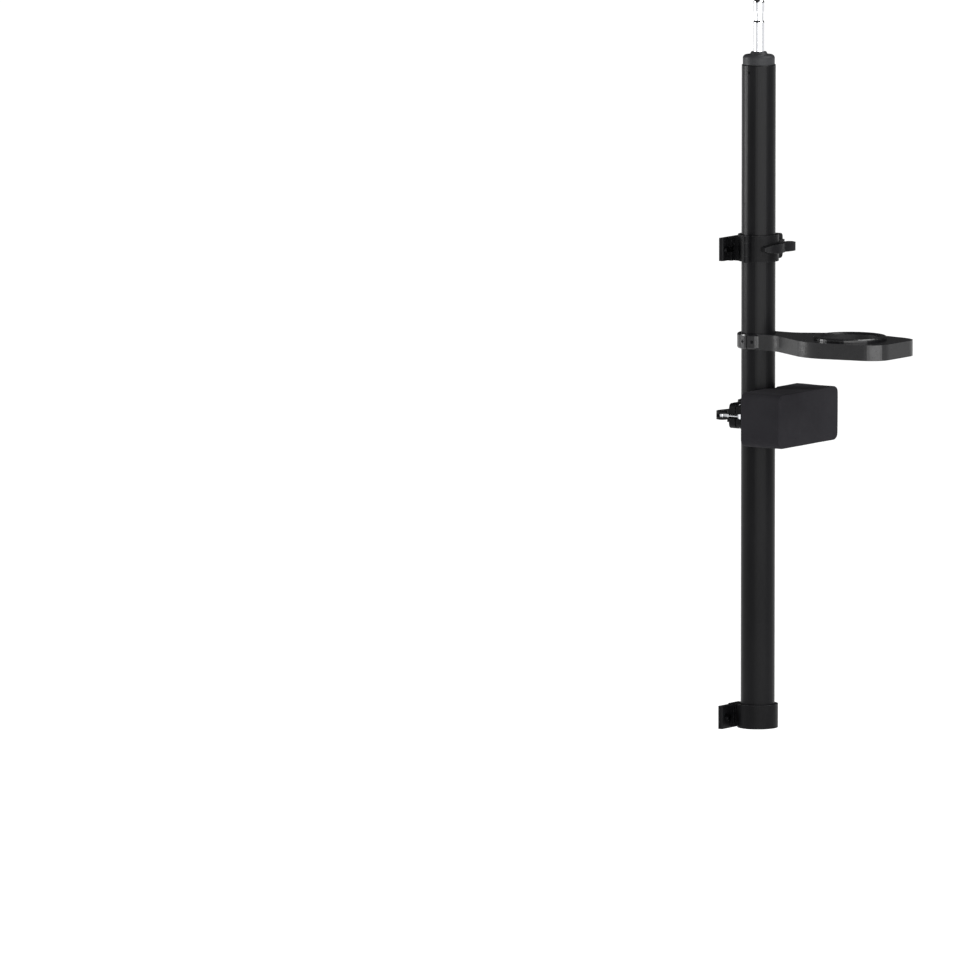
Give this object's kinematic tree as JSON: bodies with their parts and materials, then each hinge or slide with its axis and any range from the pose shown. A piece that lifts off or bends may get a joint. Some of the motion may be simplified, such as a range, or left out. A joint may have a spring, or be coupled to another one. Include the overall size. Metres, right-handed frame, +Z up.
{
  "type": "accessory mast",
  "caption": "Black round accessory mast for an equipment cart: foot socket, quick-release clamp with cam lever, cup tray, padded rest block on its own clamp, cap and chrome receiver stud on top.",
  "frame": {"origin": "on the foot bracket's flat back face, where it meets the cart, level with the middle of its socket", "axes": "+Z up along the mast, +Y out of the foot bracket's back face towards the cart, +X to the right seen from the front"},
  "size_m": [0.161, 0.289, 1.0737],
  "materials": {
    "anodised_tube": "satin black anodised tube",
    "grey_cap": "moulded dark grey nylon",
    "chrome_stud": "polished chrome plate",
    "rubber": "moulded black rubber",
    "foam_skin": "matte self-skinned foam",
    "plain_steel": "zinc-plated steel",
    "sheet_steel": "black powder coat on sheet steel",
    "black_plastic": "black acetal",
    "black_steel": "black oxide steel",
    "lever_coat": "black coated casting",
    "tray_coat": "semi-gloss black coated aluminium",
    "clamp_coat": "satin black coated casting"
  },
  "bodies": {
    "cart_side": {"clamp_bolt_pin": "plain_steel", "clamp_bracket": "clamp_coat", "clamp_hinge_pin": "plain_steel", "clamp_liner_back": "black_plastic", "clamp_screw_left": "black_steel", "clamp_screw_right": "black_steel", "foot_bracket": "clamp_coat", "foot_liner": "black_plastic", "foot_pad": "rubber", "foot_screw_left": "black_steel", "foot_screw_right": "black_steel"},
    "clamp_jaw_side": {"clamp_jaw": "clamp_coat", "clamp_liner_front": "black_plastic", "clamp_wear_plate": "black_plastic"},
    "clamp_bolt_side": {"clamp_swing_bolt": "plain_steel", "clamp_cam_pin": "plain_steel"},
    "clamp_lever": {"clamp_cam_lever": "lever_coat"},
    "mast": {"cap_screw_left": "black_steel", "cap_screw_right": "black_steel", "mast_cap": "grey_cap", "mast_foot_plug": "black_plastic", "mast_tube": "anodised_tube", "stud": "chrome_stud", "stud_bolt": "plain_steel"},
    "tray": {"cup_liner": "rubber", "cup_ring": "tray_coat", "tray_arm": "tray_coat", "tray_band": "tray_coat", "tray_screw_left_back": "black_steel", "tray_screw_left_front": "black_steel", "tray_screw_right_back": "black_steel", "tray_screw_right_front": "black_steel", "tray_sleeve": "black_steel"},
    "rest": {"rest_backing": "sheet_steel", "rest_bolt_pin": "plain_steel", "rest_bracket": "clamp_coat", "rest_hinge_pin": "plain_steel", "rest_liner_back": "black_plastic", "rest_pad": "foam_skin", "rest_screw_left_high": "black_steel", "rest_screw_left_low": "black_steel", "rest_screw_right_high": "black_steel", "rest_screw_right_low": "black_steel"},
    "rest_jaw_side": {"rest_jaw": "clamp_coat", "rest_liner_front": "black_plastic", "rest_wear_plate": "black_plastic"},
    "rest_bolt_side": {"rest_swing_bolt": "plain_steel", "rest_cam_pin": "plain_steel"},
    "rest_lever": {"rest_cam_lever": "lever_coat"}
  },
  "joints": [
    {"name": "mast_lift", "type": "slide", "parent": "cart_side", "child": "mast", "axis": [0, 0, 1], "range_m": [0, 0.05]},
    {"name": "tray_swing", "type": "hinge", "parent": "mast", "child": "tray", "pos_m": [0, -0.044, 0.554], "axis": [0, 0, 1], "range_deg": [-75, 75]},
    {"name": "rest_swing", "type": "hinge", "parent": "mast", "child": "rest", "pos_m": [0, -0.044, 0.446], "axis": [0, 0, 1], "range_deg": [-60, 60]},
    {"name": "clamp_bolt_swing", "type": "hinge", "parent": "cart_side", "child": "clamp_bolt_side", "pos_m": [0.04, -0.044, 0.6906], "axis": [0, 0, 1], "range_deg": [0, 80]},
    {"name": "clamp_lever_turn", "type": "hinge", "parent": "clamp_bolt_side", "child": "clamp_lever", "pos_m": [0.04, -0.0722, 0.6906], "axis": [0, 0, 1], "range_deg": [0, 120]},
    {"name": "clamp_jaw_open", "type": "hinge", "parent": "cart_side", "child": "clamp_jaw_side", "pos_m": [-0.034, -0.044, 0.6906], "axis": [0, 0, -1], "range_deg": [0, 1.5]},
    {"name": "rest_bolt_swing", "type": "hinge", "parent": "rest", "child": "rest_bolt_side", "pos_m": [-0.048, -0.044, 0.446], "axis": [0, 0, 1], "range_deg": [0, 80]},
    {"name": "rest_lever_turn", "type": "hinge", "parent": "rest_bolt_side", "child": "rest_lever", "pos_m": [-0.048, -0.0128, 0.446], "axis": [0, 0, 1], "range_deg": [0, 120]},
    {"name": "rest_jaw_open", "type": "hinge", "parent": "rest", "child": "rest_jaw_side", "pos_m": [0.034, -0.044, 0.446], "axis": [0, 0, -1], "range_deg": [0, 1.5]}
  ],
  "couplings": [
    {"joint": "clamp_jaw_open", "follows": "clamp_lever_turn", "ratio": 0.0125},
    {"joint": "rest_jaw_open", "follows": "rest_lever_turn", "ratio": 0.0125}
  ]
}
